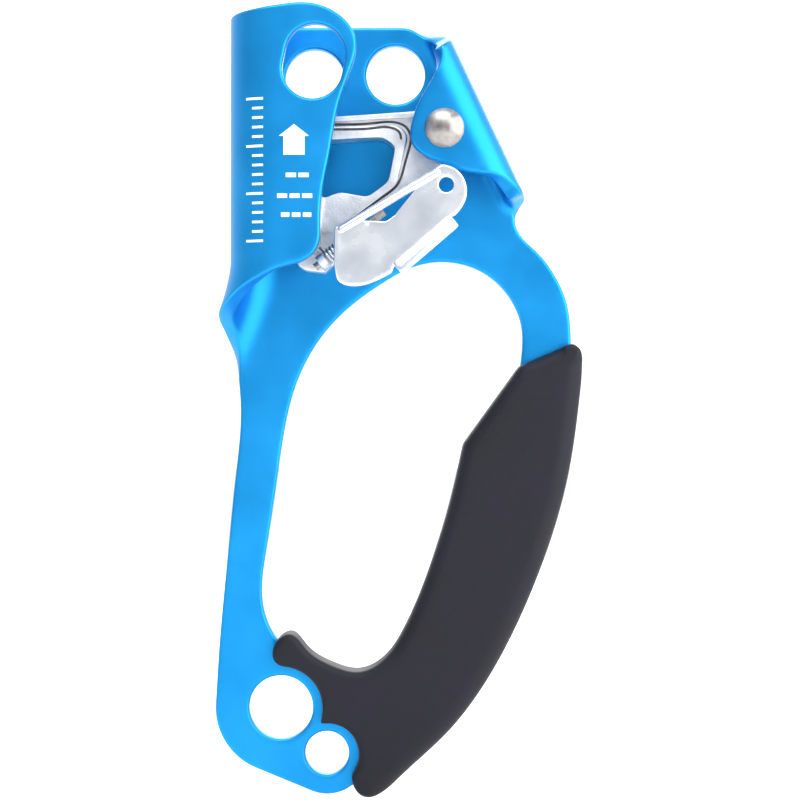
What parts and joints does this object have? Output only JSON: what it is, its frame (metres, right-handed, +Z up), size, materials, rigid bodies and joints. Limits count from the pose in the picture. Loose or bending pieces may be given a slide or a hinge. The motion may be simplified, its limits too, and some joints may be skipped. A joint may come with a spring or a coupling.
{
  "type": "handled rope ascender",
  "caption": "Handled rope ascender: folded aluminium frame with rope channel, rubber grip, sprung toothed cam on a rivet and a sprung safety catch.",
  "frame": {"origin": "centre of the large eye at the foot, in the plate's front face", "axes": "+Z up the rope, +X from the rope channel towards the grip, -Y towards the user, out of the plate's front face"},
  "size_m": [0.0877, 0.0305, 0.1869],
  "materials": {
    "anodised_aluminium": "satin blue anodised",
    "grip_rubber": "fine matt moulded",
    "cast_steel": "cast and plated, gritty",
    "stainless_steel": "turned, lightly scratched",
    "spring_steel": "bright drawn wire",
    "plated_steel": "bright plated stamping"
  },
  "bodies": {
    "frame": {"frame": "anodised_aluminium", "grip": "grip_rubber", "cam_rivet": "stainless_steel", "cam_bush": "stainless_steel", "rivet_washer": "stainless_steel", "cam_spring": "spring_steel"},
    "cam": {"cam": "cast_steel", "catch_pin": "stainless_steel", "catch_spring": "spring_steel"},
    "catch": {"catch": "plated_steel"}
  },
  "joints": [
    {"name": "cam_pivot", "type": "hinge", "parent": "frame", "child": "cam", "pos_m": [0.0388, -0.0052, 0.137], "axis": [0, -1, 0], "range_deg": [0, 50], "stiffness_Nm_per_rad": 0.04, "springref_deg": -28.65},
    {"name": "catch_pivot", "type": "hinge", "parent": "cam", "child": "catch", "pos_m": [0.0247, -0.014, 0.1174], "axis": [-0.7771, 0, -0.6293], "range_deg": [0, 35], "stiffness_Nm_per_rad": 0.02, "springref_deg": -22.92}
  ]
}
